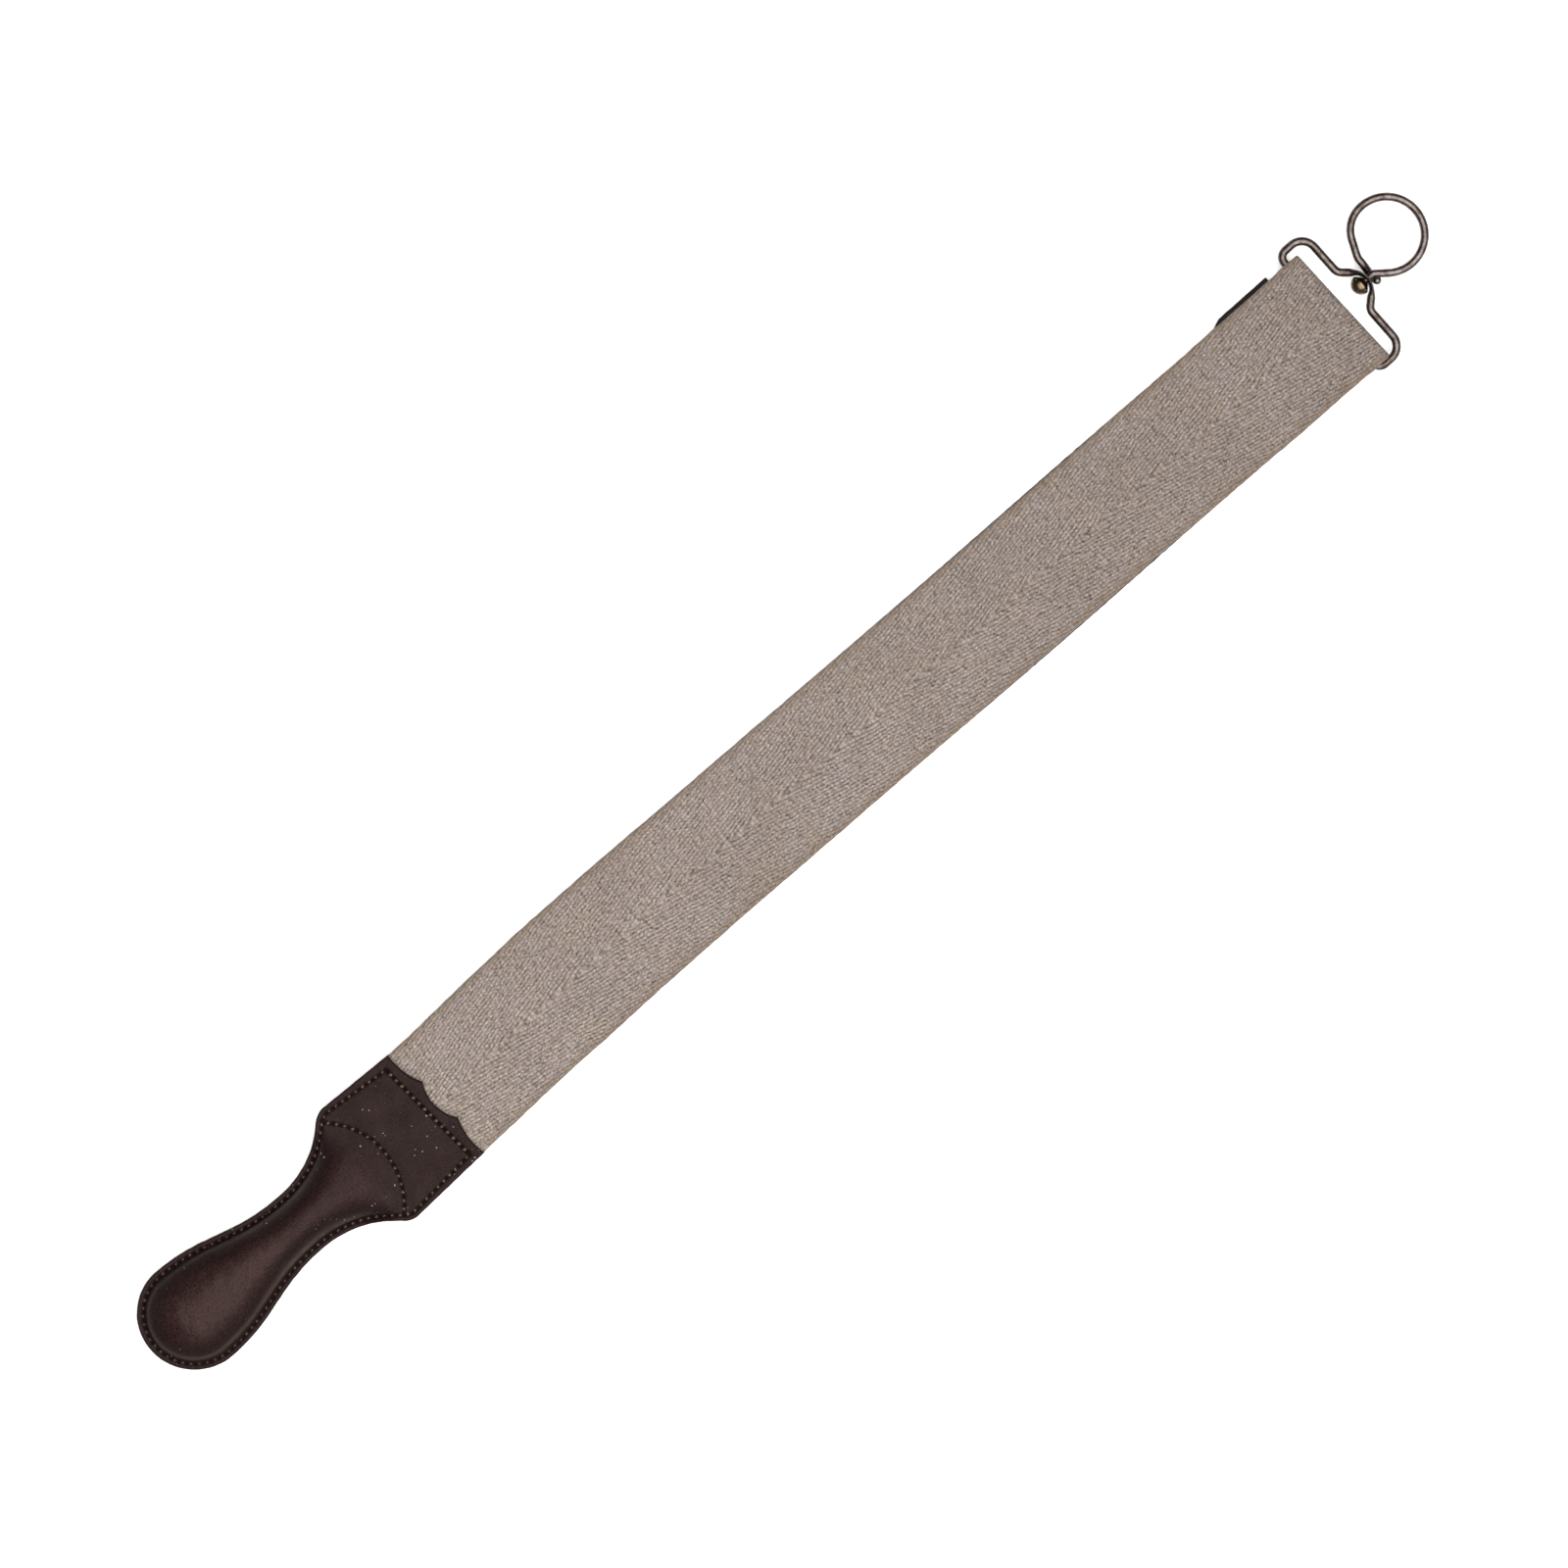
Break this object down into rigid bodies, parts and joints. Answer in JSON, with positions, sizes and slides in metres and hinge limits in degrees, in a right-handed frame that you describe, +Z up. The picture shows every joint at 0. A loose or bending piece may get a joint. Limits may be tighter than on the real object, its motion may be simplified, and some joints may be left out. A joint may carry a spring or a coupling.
{
  "type": "leather strop",
  "caption": "Hanging strop with a padded leather handle, a herringbone canvas strap over a leather strap, and a wire hanger with a swivelling ring.",
  "frame": {"origin": "centre of the footprint, on the surface that the strop lies on", "axes": "+X along the strop from the handle to the ring, +Z up, out of the canvas side"},
  "size_m": [0.635, 0.0594, 0.0134],
  "materials": {
    "handle_leather": "dark brown oiled, semi-matt",
    "padding": "pressed felt",
    "canvas": "herringbone linen webbing",
    "strap_leather": "black-brown, smooth",
    "thread": "waxed thread",
    "hanger_wire": "nickel-plated wire",
    "swivel_metal": "nickel-plated, tarnished"
  },
  "bodies": {
    "root": {"handle_front_panel": "handle_leather", "handle_back_panel": "handle_leather", "grip_core": "padding", "canvas_strap": "canvas", "leather_strap": "strap_leather", "edge_stitching_front": "thread", "edge_stitching_back": "thread", "arc_stitching_front": "thread", "arc_stitching_back": "thread", "top_stitching_front": "thread", "top_stitching_back": "thread", "strap_joint_stitching_outer": "thread", "strap_joint_stitching_inner": "thread"},
    "hanger": {"hanger_frame": "hanger_wire"},
    "ring": {"swivel_ring": "hanger_wire", "swivel_button": "swivel_metal"}
  },
  "joints": [
    {"name": "hanger_hinge", "type": "hinge", "parent": "root", "child": "hanger", "pos_m": [0.2664, 0, 0.00487], "axis": [0, 1, 0], "range_deg": [-130, 130]},
    {"name": "ring_swivel", "type": "hinge", "parent": "hanger", "child": "ring", "pos_m": [0.2845, 0, 0.00487], "axis": [1, 0, 0], "continuous": true}
  ]
}
